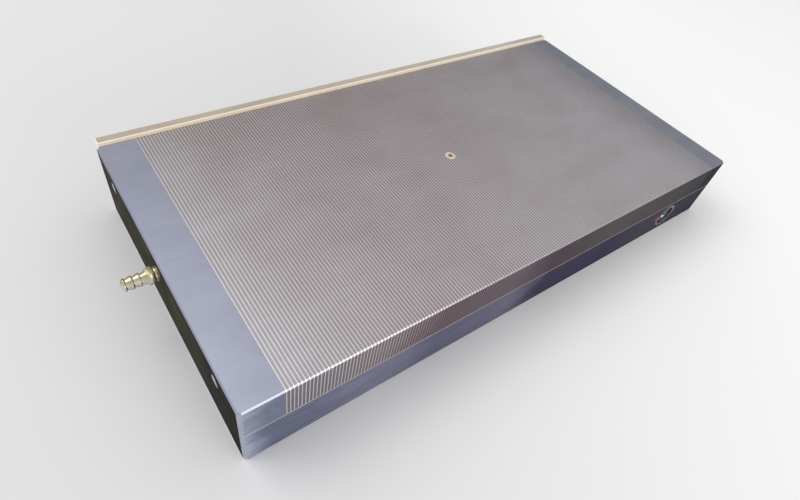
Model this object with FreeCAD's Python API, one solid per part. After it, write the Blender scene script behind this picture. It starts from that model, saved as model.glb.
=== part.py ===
import FreeCAD, Part
import math
import os

# A key-operated permanent magnetic chuck with a fine-pole face, in millimetres.
# The origin is the middle of the underside: X runs to the right along the length,
# Y to the back and Z up. The key goes into the front face, the air hose on the left end.

# ---- Body
body_length = 400.0
body_width = 200.0
base_height = 27.0
gasket_thickness = 1.0
plate_height = 23.0
corner_chamfer = 1.8
edge_chamfer = 0.8

# ---- Working face: a brazed stack of steel plates and brass spacers between two solid ends
# The right end takes what whole pole pitches leave over, and is never shorter than this.
left_block_length = 23.0
right_block_least = 18.5
pole_thickness = 1.5
spacer_thickness = 0.5

# ---- Base housing
housing_wall = 16.0
housing_floor = 6.0
pocket_corner = 6.0

# ---- Clearances, each on one side
seat_gap = 0.05
running_gap = 0.05
free_gap = 0.3
side_gap = 0.1

# ---- Cap screws, all of one thread, and the taps they go into
m6 = 6.0
screw_clearance = 0.3
counterbore_clearance = 0.5
tap_spare = 1.5

# ---- Base screws, from beneath into the top plate
base_screw_columns = 4
base_screw_end_margin = 12.0
base_screw_inset = 8.0
base_screw_seat = 6.5
base_screw_grip = 10.5

# ---- Tapped holes in the underside, for fixing the chuck to a machine table
fixing_spacing_x = 94.0
fixing_spacing_y = 184.0
fixing_hole_radius = 3.4
fixing_hole_depth = 14.0

# ---- Left end: air port in the middle, a tapped hole each side for an end stop
port_height = 39.5
port_depth = 12.0
port_channel_radius = 2.0
port_drop_inset = 19.0
end_stop_spacing = 147.0
end_stop_hole_radius = 2.5
end_stop_hole_depth = 12.0
mouth_chamfer = 1.0

# ---- Centre bush
bush_radius = 3.75
bush_hole_radius = 1.6

# ---- Hose tail, measured outwards from the end face
tail_thread = 6.0
tail_thread_length = 8.0
tail_washer_radius = 4.4
tail_washer_thickness = 1.0
tail_collar_radius = 4.1
tail_collar_length = 1.2
tail_hexagon_flats = 9.0
tail_hexagon_length = 3.3
tail_cone_radius = 4.2
tail_cone_length = 1.9
tail_neck_radius = 3.0
tail_neck_length = 1.6
tail_barb_count = 3
tail_barb_radius = 3.85
tail_barb_length = 3.6
tail_barb_gap = 0.2
tail_tip_radius = 2.5
tail_tip_length = 2.1
tail_bore_radius = 1.75

# ---- Operating shaft, set in from the right end
shaft_inset = 50.0
shaft_z = 14.5
shaft_throw = 4.0
shaft_front_recess = 1.5
journal_radius = 8.0
shaft_body_radius = 7.0
eccentric_radius = 4.5
eccentric_length = 24.0
rear_journal_radius = 5.0
rear_journal_length = 12.6
socket_flats = 8.0
socket_depth = 12.0
socket_bevel = 0.5
shaft_bush_radius = 10.0
rear_bush_radius = 7.0
rear_bush_length = 13.0
seal_width = 2.4
seal_depth = 1.7
seal_place = 4.0

# ---- Stop screw: its dog runs in a half-turn groove of the rear journal
stop_screw_radius = 2.5
stop_screw_recess = 0.5
stop_screw_socket_flats = 2.5
stop_screw_socket_depth = 3.0
stop_dog_radius = 1.5
stop_groove_depth = 1.2

# ---- Magnet pack, which slides half a magnet pitch, with as many columns as there is room for
magnet_thickness = 10.0
pack_pole_thickness = 6.0
pack_end_room = 8.0
end_bar_thickness = 6.0
drive_bar_thickness = 10.0
carrier_thickness = 3.0
side_rail_width = 6.0
centre_rib_width = 6.0
air_groove_depth = 3.0
face_gap = 0.3
slide_strip_thickness = 2.0
slide_strip_width = 14.0
slide_strip_end_margin = 14.0
slide_strip_offset = 40.0
guide_strip_thickness = 1.9
guide_strip_height = 12.0
guide_strip_bottom = 13.0
guide_strip_end_margin = 10.0

# ---- Yoke on the pack, astride the eccentric
yoke_leg = 6.5
yoke_side_gap = 1.0
yoke_top_gap = 0.8
yoke_roof = 0.7
yoke_tenon_depth = 5.0
yoke_tenon_root = 5.0
yoke_tenon_flare = 1.5

# ---- Back rail
rail_end_margin = 1.5
rail_thickness = 6.0
rail_height = 25.0
rail_above_face = 2.4
rail_up = 3.0
rail_down = 4.0
rail_edge_chamfer = 0.4
rail_screw_count = 3
rail_screw_end_margin = 50.0
rail_screw_height = 39.5
rail_screw_grip = 9.0
washer_radius = 6.0
washer_thickness = 1.6

# ---- What follows from those
# A whole number of copies is counted with this to spare.
rounding = 0.000001
half_length = body_length / 2
half_width = body_width / 2
plate_bottom = base_height + gasket_thickness
face_height = plate_bottom + plate_height
stack_start = left_block_length - half_length
pole_pitch = pole_thickness + spacer_thickness
stack_room = body_length - left_block_length - right_block_least - spacer_thickness
pole_count = math.floor(stack_room / pole_pitch + rounding)
stack_end = stack_start + pole_count * pole_pitch + spacer_thickness
pocket_x = half_length - housing_wall
pocket_y = half_width - housing_wall

shaft_x = half_length - shaft_inset
shaft_front = -half_width + shaft_front_recess
inner_front = -pocket_y
shaft_body_front = inner_front + free_gap
shaft_body_back = pocket_y - free_gap
# A straight-line coupling of turn and slide strays from the crank's own motion by at most
# this share of the throw, and the yoke's slot is wider by it.
crank_straying = 0.2105
slot_half_width = eccentric_radius + shaft_throw * crank_straying + side_gap
slot_middle = shaft_x - shaft_throw
stop_screw_y = pocket_y + rear_bush_length / 2 + 0.5

pack_half_width = pocket_y - guide_strip_thickness - side_gap
carrier_bottom = housing_floor + slide_strip_thickness + running_gap
carrier_top = carrier_bottom + carrier_thickness
pack_top = plate_bottom - face_gap
pack_left = pack_end_room - pocket_x
magnets_start = pack_left + end_bar_thickness
magnet_pitch = magnet_thickness + pack_pole_thickness
yoke_left_least = slot_middle - slot_half_width - yoke_leg
magnet_room = yoke_left_least - drive_bar_thickness - pack_pole_thickness - magnets_start
magnet_columns = math.floor(magnet_room / magnet_pitch + rounding)
magnets_end = magnets_start + magnet_columns * magnet_pitch + pack_pole_thickness
pack_right = magnets_end + drive_bar_thickness
row_inner = centre_rib_width / 2
row_outer = pack_half_width - side_rail_width
yoke_half_width = eccentric_length / 2 - yoke_side_gap
yoke_bottom = carrier_top + seat_gap
yoke_top = pack_top - yoke_roof

rail_front = half_width + running_gap
rail_back = rail_front + rail_thickness
rail_top = face_height + rail_above_face
rail_bottom = rail_top - rail_height
washer_back = rail_back + running_gap + washer_thickness

RIGHT = FreeCAD.Vector(1, 0, 0)
BACK = FreeCAD.Vector(0, 1, 0)
UP = FreeCAD.Vector(0, 0, 1)


# ---- Helpers
def box(x_range, y_range, z_range):
    """A block between two planes on each axis."""
    corner = FreeCAD.Vector(x_range[0], y_range[0], z_range[0])
    spans = [high - low for low, high in (x_range, y_range, z_range)]
    return Part.makeBox(spans[0], spans[1], spans[2], corner)


def cylinder(radius, start, direction, length):
    """A round bar that starts at a point and runs along a direction."""
    return Part.makeCylinder(radius, length, FreeCAD.Vector(*start), direction)


def prism(points, run):
    """A closed outline, pulled along a vector."""
    corners = [FreeCAD.Vector(*point) for point in points]
    outline = Part.makePolygon(corners + corners[:1])
    return Part.Face(outline).extrude(run)


def hexagon(flats, length):
    """A hexagonal bar along +Z from the origin, with a flat facing +X and -X."""
    reach = flats / math.sqrt(3)
    turns = [math.radians(30 + 60 * side) for side in range(6)]
    points = [(reach * math.cos(turn), reach * math.sin(turn), 0) for turn in turns]
    return prism(points, UP * length)


def turned(profile, start, direction):
    """A lathe part from (distance along, radius) points, with its axis along a direction."""
    points = [FreeCAD.Vector(radius, 0, along) for along, radius in profile]
    outline = Part.Face(Part.makePolygon(points + points[:1]))
    return placed(outline.revolve(FreeCAD.Vector(0, 0, 0), UP, 360), start, direction)


def placed(shape, start, direction):
    """A shape made along +Z, laid along another direction from a point."""
    turn = FreeCAD.Rotation(UP, direction)
    return shape.transformed(FreeCAD.Placement(FreeCAD.Vector(*start), turn).toMatrix())


def cut_by(shape, tools):
    """A shape without its holes: only the tools that reach its box are used."""
    reaching = [tool for tool in tools if tool.BoundBox.intersect(shape.BoundBox)]
    return shape.cut(reaching) if reaching else shape


def edges_where(shape, test):
    """The edges of a shape whose two ends both pass a test."""
    return [edge for edge in shape.Edges if all(test(corner.Point) for corner in edge.Vertexes)]


def near(value, target):
    return abs(value - target) < 0.001


def upright_edges(shape, x_range, y_range):
    """The vertical edges at the given X and Y planes."""
    def at_corner(point):
        return any(near(point.x, x) for x in x_range) and any(near(point.y, y) for y in y_range)
    return [edge for edge in edges_where(shape, at_corner) if edge.BoundBox.ZLength > edge.BoundBox.XLength]


def cap_screw(diameter, length):
    """A socket-head cap screw: its seat is at the origin and its thread runs along +Z."""
    head_radius = head_radius_of(diameter)
    radius = diameter / 2
    profile = [
        (-diameter, 0), (-diameter, head_radius), (0, head_radius),
        (0, radius), (length, radius), (length, 0),
    ]
    key = hexagon(diameter * 5 / 6, diameter / 2)
    return turned(profile, (0, 0, 0), UP).cut(placed(key, (0, 0, -diameter), UP))


def head_radius_of(diameter):
    return (1.5 * diameter + 1.0) / 2


def save(name, pieces):
    """One named node, from one or more separate solids."""
    solids = [solid for piece in pieces for solid in piece.Solids]
    shape = solids[0] if len(solids) == 1 else Part.makeCompound(solids)
    shape.exportStep("parts/" + name + ".step")
    print(name, len(solids), "solids", round(sum(solid.Volume for solid in solids)), "mm3")


# ---- Where the screws and holes are
def base_screw_places():
    run = body_length - 2 * base_screw_end_margin
    step = run / (base_screw_columns - 1)
    columns = [-run / 2 + column * step for column in range(base_screw_columns)]
    row = half_width - base_screw_inset
    return [(x, y) for x in columns for y in (-row, row)]


def rail_screw_places():
    first = rail_screw_end_margin - half_length
    step = -2 * first / (rail_screw_count - 1)
    return [first + column * step for column in range(rail_screw_count)]


def top_plate_holes():
    """Every hole of the top plate, as tools for the end blocks, the poles and the spacers."""
    tap = m6 / 2 + seat_gap
    tools = []
    for x, y in base_screw_places():
        tools.append(cylinder(tap, (x, y, plate_bottom), UP, base_screw_grip + tap_spare))
    for x in rail_screw_places():
        tools.append(cylinder(tap, (x, half_width, rail_screw_height), -BACK, rail_screw_grip + tap_spare))
    tools.append(cylinder(bush_radius + seat_gap, (0, 0, plate_bottom), UP, plate_height))
    return tools


# ---- Base
def base_housing():
    """A steel box with one deep pocket, bored for the shaft and drilled for its screws."""
    outside = (-half_length, half_length)
    across = (-half_width, half_width)
    body = box(outside, across, (0, base_height))
    body = body.makeChamfer(corner_chamfer, upright_edges(body, outside, across))
    body = body.makeChamfer(edge_chamfer, edges_where(body, lambda p: near(p.z, 0)))
    pocket = box((-pocket_x, pocket_x), (-pocket_y, pocket_y), (housing_floor, base_height))
    corners = upright_edges(pocket, (-pocket_x, pocket_x), (-pocket_y, pocket_y))
    pocket = pocket.makeFillet(pocket_corner, corners)
    tools = [pocket]
    for x, y in base_screw_places():
        tools.append(cylinder(m6 / 2 + screw_clearance, (x, y, 0), UP, base_height))
        recess = head_radius_of(m6) + counterbore_clearance
        tools.append(cylinder(recess, (x, y, 0), UP, base_screw_seat))
    for x in (-fixing_spacing_x / 2, fixing_spacing_x / 2):
        for y in (-fixing_spacing_y / 2, fixing_spacing_y / 2):
            tools.append(cylinder(fixing_hole_radius, (x, y, 0), UP, fixing_hole_depth))
    tools.append(cylinder(shaft_bush_radius + seat_gap, (shaft_x, -half_width, shaft_z), BACK, housing_wall))
    blind = rear_bush_length + free_gap
    tools.append(cylinder(rear_bush_radius + seat_gap, (shaft_x, pocket_y, shaft_z), BACK, blind))
    tools.append(cylinder(stop_screw_radius + seat_gap, (shaft_x, stop_screw_y, 0), UP, shaft_z))
    return body.cut(tools)


def parting_gasket():
    """A thin brass frame that seals the housing under the top plate."""
    outside = (-half_length, half_length)
    across = (-half_width, half_width)
    levels = (base_height, plate_bottom)
    sheet = box(outside, across, levels)
    corners = edges_where(sheet, lambda p: True)
    corners = [edge for edge in corners if edge.BoundBox.ZLength > gasket_thickness / 2]
    sheet = sheet.makeChamfer(corner_chamfer, corners)
    window = box((-pocket_x, pocket_x), (-pocket_y, pocket_y), levels)
    corners = [edge for edge in window.Edges if edge.BoundBox.ZLength > gasket_thickness / 2]
    tools = [window.makeFillet(pocket_corner, corners)]
    for x, y in base_screw_places():
        tools.append(cylinder(m6 / 2 + screw_clearance, (x, y, base_height), UP, gasket_thickness))
    return sheet.cut(tools)


# ---- Top plate
def end_block(outer_x, inner_x):
    """A solid end of the top plate: bevelled on its outer corners and round its top edge."""
    low, high = sorted((outer_x, inner_x))
    across = (-half_width, half_width)
    block = box((low, high), across, (plate_bottom, face_height))
    block = block.makeChamfer(corner_chamfer, upright_edges(block, (outer_x,), across))
    rim = edges_where(block, lambda p: near(p.z, face_height))
    rim = [edge for edge in rim if not all(near(corner.Point.x, inner_x) for corner in edge.Vertexes)]
    return block.makeChamfer(edge_chamfer, rim)


def countersunk_hole(radius, start, direction, depth):
    """A blind hole with a small bevel round its mouth."""
    hole = cylinder(radius, start, direction, depth)
    mouth = Part.makeCone(radius + mouth_chamfer, radius, mouth_chamfer, FreeCAD.Vector(*start), direction)
    return hole.fuse(mouth)


def left_end_block(holes):
    """The end with the air port: in from the end face, then down into the housing."""
    block = end_block(-half_length, stack_start)
    tools = list(holes)
    port_radius = tail_thread / 2 + seat_gap
    tools.append(cylinder(port_radius, (-half_length, 0, port_height), RIGHT, port_depth))
    tools.append(cylinder(port_channel_radius, (-half_length, 0, port_height), RIGHT, port_drop_inset))
    drop = port_height - plate_bottom + port_channel_radius
    drop_x = -half_length + port_drop_inset
    tools.append(cylinder(port_channel_radius, (drop_x, 0, plate_bottom), UP, drop))
    for y in (-end_stop_spacing / 2, end_stop_spacing / 2):
        mouth = (-half_length, y, port_height)
        tools.append(countersunk_hole(end_stop_hole_radius, mouth, RIGHT, end_stop_hole_depth))
    return cut_by(block, tools)


def right_end_block(holes):
    return cut_by(end_block(half_length, stack_end), holes)


def stack_slice(start, thickness):
    """One layer of the stack: the top plate's section, with its long top edges bevelled."""
    half = half_width
    shoulder = face_height - edge_chamfer
    section = [
        (start, -half, plate_bottom), (start, half, plate_bottom), (start, half, shoulder),
        (start, half - edge_chamfer, face_height), (start, edge_chamfer - half, face_height),
        (start, -half, shoulder),
    ]
    return prism(section, RIGHT * thickness)


def stack_layers(first, thickness, count, holes):
    """Equal layers one pitch apart, drilled where the holes reach them."""
    starts = [first + layer * pole_pitch for layer in range(count)]
    return [cut_by(stack_slice(start, thickness), holes) for start in starts]


def pole_plates(holes):
    return stack_layers(stack_start + spacer_thickness, pole_thickness, pole_count, holes)


def brass_spacers(holes):
    return stack_layers(stack_start, spacer_thickness, pole_count + 1, holes)


def centre_bush():
    """A brass bush through the stack, flush with the face: air leaves by its small hole."""
    bush = cylinder(bush_radius, (0, 0, plate_bottom), UP, plate_height)
    return bush.cut(cylinder(bush_hole_radius, (0, 0, plate_bottom), UP, plate_height))


def base_screws():
    length = base_height - base_screw_seat + gasket_thickness + base_screw_grip
    screw = cap_screw(m6, length)
    return [placed(screw, (x, y, base_screw_seat), UP) for x, y in base_screw_places()]


# ---- Air connection
def hose_tail():
    """A turned and milled hose tail: thread, collar, hexagon, cone, neck and three barbs."""
    profile = [(-tail_thread_length, 0), (-tail_thread_length, tail_thread / 2)]
    along = tail_washer_thickness
    profile += [(along, tail_thread / 2), (along, tail_collar_radius)]
    along += tail_collar_length
    nut = placed(hexagon(tail_hexagon_flats, tail_hexagon_length), (0, 0, along), UP)
    along += tail_hexagon_length
    profile += [(along, tail_collar_radius), (along, tail_cone_radius)]
    along += tail_cone_length
    profile.append((along, tail_neck_radius))
    along += tail_neck_length
    for barb in range(tail_barb_count):
        last = barb == tail_barb_count - 1
        profile += [(along, tail_neck_radius), (along, tail_barb_radius)]
        along += tail_tip_length if last else tail_barb_length
        profile.append((along, tail_tip_radius if last else tail_neck_radius))
        along += 0 if last else tail_barb_gap
    profile.append((along, 0))
    body = turned(profile, (0, 0, 0), UP).fuse(nut)
    bore = cylinder(tail_bore_radius, (0, 0, -tail_thread_length), UP, tail_thread_length + along)
    return placed(body.cut(bore), (-half_length, 0, port_height), -RIGHT)


def hose_tail_washer():
    axis = (-half_length, 0, port_height)
    ring = cylinder(tail_washer_radius, axis, -RIGHT, tail_washer_thickness)
    return ring.cut(cylinder(tail_thread / 2 + seat_gap, axis, -RIGHT, tail_washer_thickness))


# ---- Operating shaft and its bearings
def operating_shaft():
    """One turned shaft: front journal, body, offset eccentric and a grooved rear journal."""
    length = shaft_body_front - shaft_front
    groove = length - seal_place
    front = turned([
        (0, 0), (0, journal_radius),
        (groove - seal_width, journal_radius), (groove - seal_width, journal_radius - seal_depth),
        (groove, journal_radius - seal_depth), (groove, journal_radius),
        (length, journal_radius), (length, 0),
    ], (shaft_x, shaft_front, shaft_z), BACK)
    cheek = eccentric_length / 2
    near_start = (shaft_x, shaft_body_front, shaft_z)
    near_body = cylinder(shaft_body_radius, near_start, BACK, -cheek - shaft_body_front)
    far_body = cylinder(shaft_body_radius, (shaft_x, cheek, shaft_z), BACK, shaft_body_back - cheek)
    crank = cylinder(eccentric_radius, (shaft_x - shaft_throw, -cheek, shaft_z), BACK, eccentric_length)
    rear = cylinder(rear_journal_radius, (shaft_x, shaft_body_back, shaft_z), BACK, rear_journal_length)
    shaft = front.fuse([near_body, crank, far_body, rear])
    return shaft.cut([key_socket(), stop_groove()])


def key_socket():
    """The hexagon socket in the shaft's front end, with a bevelled mouth."""
    mouth = (shaft_x, shaft_front, shaft_z)
    socket = placed(hexagon(socket_flats, socket_depth), mouth, BACK)
    reach = socket_flats / math.sqrt(3)
    wide = reach + socket_bevel
    narrow = reach - socket_bevel
    bevel = Part.makeCone(wide, narrow, 2 * socket_bevel, FreeCAD.Vector(*mouth), BACK)
    return socket.fuse(bevel)


def stop_groove():
    """A groove over half of the rear journal, long enough for the dog at both ends."""
    half = stop_dog_radius + side_gap
    start = (shaft_x, stop_screw_y - half, shaft_z)
    outer = rear_journal_radius + free_gap
    ring = cylinder(outer, start, BACK, 2 * half)
    ring = ring.cut(cylinder(rear_journal_radius - stop_groove_depth, start, BACK, 2 * half))
    x_range = (shaft_x - half, shaft_x + outer)
    y_range = (start[1], start[1] + 2 * half)
    return ring.common(box(x_range, y_range, (shaft_z - outer, shaft_z + outer)))


def shaft_seal():
    """The seal ring in the journal's groove."""
    groove_start = shaft_body_front - seal_place - seal_width
    start = (shaft_x, groove_start + seat_gap, shaft_z)
    width = seal_width - 2 * seat_gap
    ring = cylinder(journal_radius, start, BACK, width)
    return ring.cut(cylinder(journal_radius - seal_depth + seat_gap, start, BACK, width))


def shaft_bush():
    """The bright bush in the front wall."""
    start = (shaft_x, -half_width, shaft_z)
    bush = cylinder(shaft_bush_radius, start, BACK, housing_wall)
    return bush.cut(cylinder(journal_radius + running_gap, start, BACK, housing_wall))


def rear_bush():
    """The bronze bush in the back wall, with a hole for the stop screw's dog."""
    start = (shaft_x, pocket_y, shaft_z)
    bush = cylinder(rear_bush_radius, start, BACK, rear_bush_length)
    bush = bush.cut(cylinder(rear_journal_radius + running_gap, start, BACK, rear_bush_length))
    hole = stop_dog_radius + side_gap
    return bush.cut(cylinder(hole, (shaft_x, stop_screw_y, 0), UP, shaft_z))


def stop_screw():
    """A dog-point set screw from beneath, with a small hexagon socket."""
    shoulder = shaft_z - rear_bush_radius - seat_gap
    dog_end = shaft_z - rear_journal_radius + stop_groove_depth - side_gap
    profile = [
        (stop_screw_recess, 0), (stop_screw_recess, stop_screw_radius), (shoulder, stop_screw_radius),
        (shoulder, stop_dog_radius), (dog_end, stop_dog_radius), (dog_end, 0),
    ]
    screw = turned(profile, (shaft_x, stop_screw_y, 0), UP)
    key = hexagon(stop_screw_socket_flats, stop_screw_socket_depth)
    return screw.cut(placed(key, (shaft_x, stop_screw_y, stop_screw_recess), UP))


# ---- Magnet pack
def magnet_rows():
    """The two spans across the width that the magnets and pack poles fill."""
    return ((-row_outer, -row_inner), (row_inner, row_outer))


def row_bars(starts, thickness):
    """A bar in each row at every start along the pack."""
    levels = (carrier_top, pack_top)
    return [box((x, x + thickness), row, levels) for x in starts for row in magnet_rows()]


def magnets():
    first = magnets_start + pack_pole_thickness
    return row_bars([first + n * magnet_pitch for n in range(magnet_columns)], magnet_thickness)


def pack_pole_bars():
    starts = [magnets_start + n * magnet_pitch for n in range(magnet_columns + 1)]
    return row_bars(starts, pack_pole_thickness)


def carrier_plate():
    """The aluminium plate that the magnets are bonded on."""
    across = (-pack_half_width, pack_half_width)
    return box((pack_left, pack_right), across, (carrier_bottom, carrier_top))


def side_rails():
    """The rails that close the magnet rows on the outside."""
    levels = (carrier_top, pack_top)
    span = (magnets_start, magnets_end)
    sides = ((-pack_half_width, -row_outer), (row_outer, pack_half_width))
    return [box(span, side, levels) for side in sides]


def centre_rib():
    """The rib between the rows, low enough to leave an air way over it."""
    levels = (carrier_top, pack_top - air_groove_depth)
    return box((magnets_start, magnets_end), (-row_inner, row_inner), levels)


def end_bar():
    """The bar at the left end of the rows, notched for the air way."""
    span = (pack_left, magnets_start)
    bar = box(span, (-pack_half_width, pack_half_width), (carrier_top, pack_top))
    return bar.cut(box(span, (-row_inner, row_inner), (pack_top - air_groove_depth, pack_top)))


def tenon(gap):
    """The yoke's dovetail in the drive bar, widened by a gap on its flanks."""
    root = yoke_tenon_root + gap
    tip = root + yoke_tenon_flare
    depth = pack_right - yoke_tenon_depth
    outline = [
        (pack_right, -root, yoke_bottom), (depth, -tip, yoke_bottom),
        (depth, tip, yoke_bottom), (pack_right, root, yoke_bottom),
    ]
    return prism(outline, UP * (yoke_top - yoke_bottom))


def drive_bar():
    """The thicker bar at the right end, with the dovetail slot that carries the yoke."""
    bar = box((magnets_end, pack_right), (-pack_half_width, pack_half_width), (carrier_top, pack_top))
    return bar.cut(tenon(seat_gap))


def yoke_block():
    """The driven yoke: a block with a slot, open beneath, that the eccentric turns in."""
    right = slot_middle + slot_half_width + yoke_leg
    across = (-yoke_half_width, yoke_half_width)
    yoke = box((pack_right, right), across, (yoke_bottom, yoke_top)).fuse(tenon(0))
    slot_roof = shaft_z + shaft_throw + eccentric_radius + yoke_top_gap
    slot_span = (slot_middle - slot_half_width, slot_middle + slot_half_width)
    return yoke.cut(box(slot_span, across, (yoke_bottom, slot_roof)))


def slide_strips():
    """Two brass strips on the housing floor, which carry the pack."""
    far_end = pack_right + shaft_throw * 2
    span = (pack_left + slide_strip_end_margin, far_end - slide_strip_end_margin)
    levels = (housing_floor, housing_floor + slide_strip_thickness)
    rows = (-slide_strip_offset, slide_strip_offset)
    return [box(span, (y - slide_strip_width / 2, y + slide_strip_width / 2), levels) for y in rows]


def guide_strips():
    """Two brass strips on the long walls, which keep the pack straight."""
    span = (pack_left + guide_strip_end_margin, pack_right - guide_strip_end_margin)
    levels = (guide_strip_bottom, guide_strip_bottom + guide_strip_height)
    inner = pocket_y - guide_strip_thickness
    return [box(span, (-pocket_y, -inner), levels), box(span, (inner, pocket_y), levels)]


# ---- Back rail
def back_rail():
    """The stop bar along the back: upright slots let it be set above or below the face."""
    span = (rail_end_margin - half_length, half_length - rail_end_margin)
    rail = box(span, (rail_front, rail_back), (rail_bottom, rail_top))
    rail = rail.makeChamfer(rail_edge_chamfer, edges_where(rail, lambda p: near(p.z, rail_top)))
    slots = []
    radius = m6 / 2 + screw_clearance
    low = rail_screw_height - rail_up
    high = rail_screw_height + rail_down
    for x in rail_screw_places():
        slot = box((x - radius, x + radius), (rail_front, rail_back), (low, high))
        ends = [cylinder(radius, (x, rail_front, z), BACK, rail_thickness) for z in (low, high)]
        slots.append(slot.fuse(ends).removeSplitter())
    return rail.cut(slots)


def rail_washers():
    washers = []
    for x in rail_screw_places():
        start = (x, washer_back - washer_thickness, rail_screw_height)
        ring = cylinder(washer_radius, start, BACK, washer_thickness)
        washers.append(ring.cut(cylinder(m6 / 2 + seat_gap, start, BACK, washer_thickness)))
    return washers


def rail_screws():
    length = washer_back - half_width + rail_screw_grip
    screw = cap_screw(m6, length)
    return [placed(screw, (x, washer_back, rail_screw_height), -BACK) for x in rail_screw_places()]


# ---- Build
os.makedirs("parts", exist_ok=True)
top_holes = top_plate_holes()
save("base_housing", [base_housing()])
save("parting_gasket", [parting_gasket()])
save("left_end_block", [left_end_block(top_holes)])
save("right_end_block", [right_end_block(top_holes)])
save("pole_plates", pole_plates(top_holes))
save("brass_spacers", brass_spacers(top_holes))
save("centre_bush", [centre_bush()])
save("base_screws", base_screws())
save("hose_tail", [hose_tail()])
save("hose_tail_washer", [hose_tail_washer()])
save("operating_shaft", [operating_shaft()])
save("shaft_seal", [shaft_seal()])
save("shaft_bush", [shaft_bush()])
save("rear_bush", [rear_bush()])
save("stop_screw", [stop_screw()])
save("magnets", magnets())
save("pack_pole_bars", pack_pole_bars())
save("carrier_plate", [carrier_plate()])
save("side_rails", side_rails())
save("centre_rib", [centre_rib()])
save("end_bar", [end_bar()])
save("drive_bar", [drive_bar()])
save("yoke_block", [yoke_block()])
save("slide_strips", slide_strips())
save("guide_strips", guide_strips())
save("back_rail", [back_rail()])
save("rail_washers", rail_washers())
save("rail_screws", rail_screws())
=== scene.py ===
# %% [markdown]
# # A key-operated magnetic chuck
# The object is a ground steel block with a striped working face, a turned hose tail on its
# left end and a key socket in its front. Its solid parts come ready made, in metres, as the
# frame. Here they get their finishes, and the small turned pieces are modelled in full.

# %% Load the solid parts
import math

import bpy
import bmesh
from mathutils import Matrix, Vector


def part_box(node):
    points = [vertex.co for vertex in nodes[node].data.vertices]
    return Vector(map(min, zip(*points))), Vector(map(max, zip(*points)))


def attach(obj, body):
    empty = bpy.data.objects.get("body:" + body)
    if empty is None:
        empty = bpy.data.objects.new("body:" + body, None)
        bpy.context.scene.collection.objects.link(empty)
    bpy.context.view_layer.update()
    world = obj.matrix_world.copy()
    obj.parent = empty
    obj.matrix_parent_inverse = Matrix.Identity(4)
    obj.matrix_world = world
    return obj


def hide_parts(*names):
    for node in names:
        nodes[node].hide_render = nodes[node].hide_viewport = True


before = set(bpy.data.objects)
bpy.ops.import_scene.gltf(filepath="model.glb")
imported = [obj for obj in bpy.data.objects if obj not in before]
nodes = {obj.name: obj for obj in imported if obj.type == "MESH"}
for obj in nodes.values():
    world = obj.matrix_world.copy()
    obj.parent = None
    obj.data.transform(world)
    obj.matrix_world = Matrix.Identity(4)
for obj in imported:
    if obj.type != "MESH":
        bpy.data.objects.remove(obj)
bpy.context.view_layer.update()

MM = 0.001

# %% [markdown]
# ## Sizes to build from
# Every new piece is placed from the box of the solid that it stands for, so it sits exactly
# where that solid sat. Only the small marks in the finishes have places of their own.

# %% Places on the chuck
base_low, base_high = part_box("base_housing")
left_block_low, left_block_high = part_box("left_end_block")
face_height = left_block_high.z
tail_low, tail_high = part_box("hose_tail")
tail_axis_y = (tail_low.y + tail_high.y) / 2
tail_axis_z = (tail_low.z + tail_high.z) / 2
bush_low, bush_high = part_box("shaft_bush")
shaft_x = (bush_low.x + bush_high.x) / 2
end_hole_y = 73.5 * MM
shaft_dot_x, shaft_dot_z = 137.6 * MM, 16.0 * MM
plate_dot_x, plate_dot_z = 127.0 * MM, 31.2 * MM
print("face height", round(face_height / MM, 2), "mm, shaft at x", round(shaft_x / MM, 2), "mm")

# %% [markdown]
# ## Small helpers for materials
# A material is a tree of nodes. A few short helpers keep the trees readable: they add a node
# and set it up, give a pattern in the object's own coordinates, stretch a range of values,
# and blend two colours. Colours are written as they look, from 0 to 255,
# and turned into the linear values that the shader works with.


# %% Colours as they look
def linear(red, green, blue):
    """A colour as it looks on a screen, turned into the shader's linear numbers."""
    def channel(value):
        share = value / 255
        return share / 12.92 if share <= 0.04045 else ((share + 0.055) / 1.055) ** 2.4
    return (channel(red), channel(green), channel(blue), 1.0)


print("a middle grey is", round(linear(128, 128, 128)[0], 3), "for the shader")


# %% Node and pattern helpers
def add_node(tree, kind, inputs=None, **settings):
    """A new node: settings are its options, inputs are values or sockets for its inputs."""
    made = tree.nodes.new(kind)
    for name, value in settings.items():
        setattr(made, name, value)
    for name, value in (inputs or {}).items():
        if isinstance(value, bpy.types.NodeSocket):
            tree.links.new(value, made.inputs[name])
        else:
            made.inputs[name].default_value = value
    return made


def pattern_place(tree, grain=(1.0, 1.0, 1.0), shift=(0.0, 0.0, 0.0)):
    """The object's own coordinates, stretched by a grain direction."""
    source = add_node(tree, "ShaderNodeTexCoord").outputs["Object"]
    mapping = add_node(tree, "ShaderNodeMapping", {
        "Vector": source, "Scale": grain, "Location": shift})
    return mapping.outputs["Vector"]


def cloud(tree, place, size, detail=3.0, roughness=0.55):
    """A soft noise whose patches are about the given size, in metres."""
    noise = add_node(tree, "ShaderNodeTexNoise", {
        "Vector": place, "Scale": 1.0 / size, "Detail": detail, "Roughness": roughness})
    return noise.outputs["Fac"]


print("node and pattern helpers ready")


# %% Helpers for values and colours
def stretch(tree, value, low, high, first=0.0, last=1.0):
    """Maps a value from one range to another, and holds it at the ends."""
    node = add_node(tree, "ShaderNodeMapRange", {
        "Value": value, "From Min": low, "From Max": high, "To Min": first, "To Max": last})
    return node.outputs["Result"]


def arithmetic(tree, operation, first, second):
    """One sum with two values, such as a difference, a product or the larger of the two."""
    node = add_node(tree, "ShaderNodeMath", {0: first, 1: second}, operation=operation)
    return node.outputs["Value"]


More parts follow.
